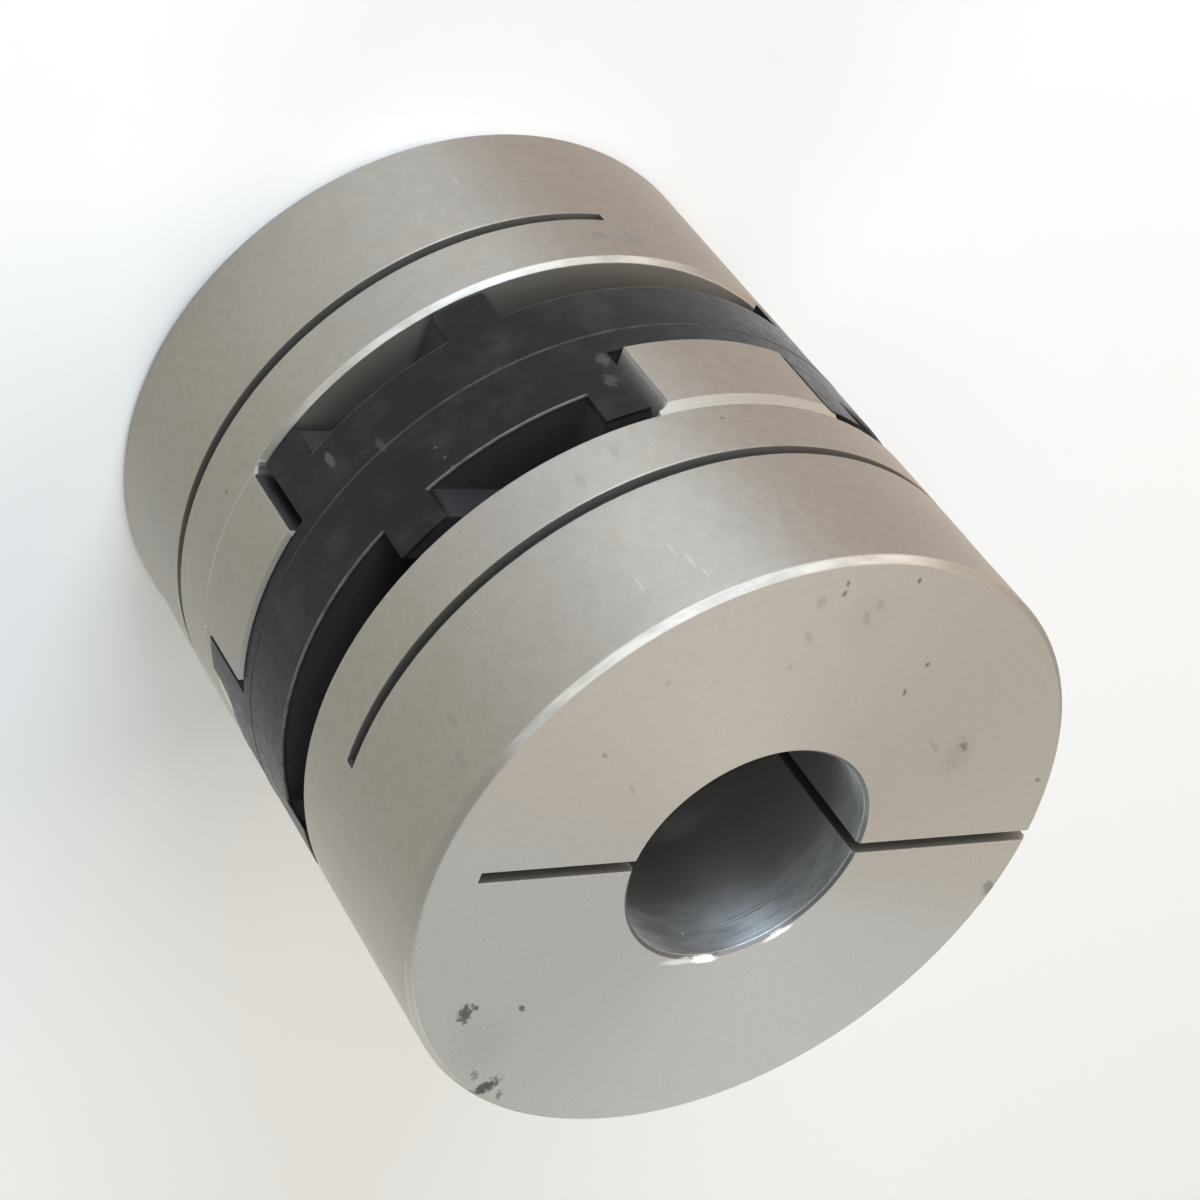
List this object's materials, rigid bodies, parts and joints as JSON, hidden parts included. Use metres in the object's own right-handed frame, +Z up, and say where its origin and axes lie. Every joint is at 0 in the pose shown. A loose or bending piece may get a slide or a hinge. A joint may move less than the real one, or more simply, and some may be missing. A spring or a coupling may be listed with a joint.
{
  "type": "flexible coupling",
  "caption": "Cross-slider flexible shaft coupling: slit clamp hubs with end bores and tenons, joined through a ribbed plastic centre disc that slides to take up shaft offset.",
  "frame": {"origin": "centre of the rear hub's end face, on which the coupling stands", "axes": "+Z up along the shaft axis to the front hub, X along the rear tenons, Y along the front tenons"},
  "size_m": [0.0556, 0.0556, 0.058],
  "materials": {
    "satin_aluminium": "satin, fine blasted, with bright bevels",
    "black_plastic": "semi-gloss moulded",
    "black_steel": "black oxide"
  },
  "bodies": {
    "rear": {"rear_hub": "satin_aluminium", "rear_clamp_screw": "black_steel"},
    "disc": {"centre_disc": "black_plastic"},
    "front": {"front_hub": "satin_aluminium", "front_clamp_screw": "black_steel"}
  },
  "joints": [
    {"name": "disc_slide", "type": "slide", "parent": "rear", "child": "disc", "axis": [1, 0, 0], "range_m": [-0.0015, 0.0015]},
    {"name": "front_slide", "type": "slide", "parent": "disc", "child": "front", "axis": [0, 1, 0], "range_m": [-0.0015, 0.0015]}
  ]
}
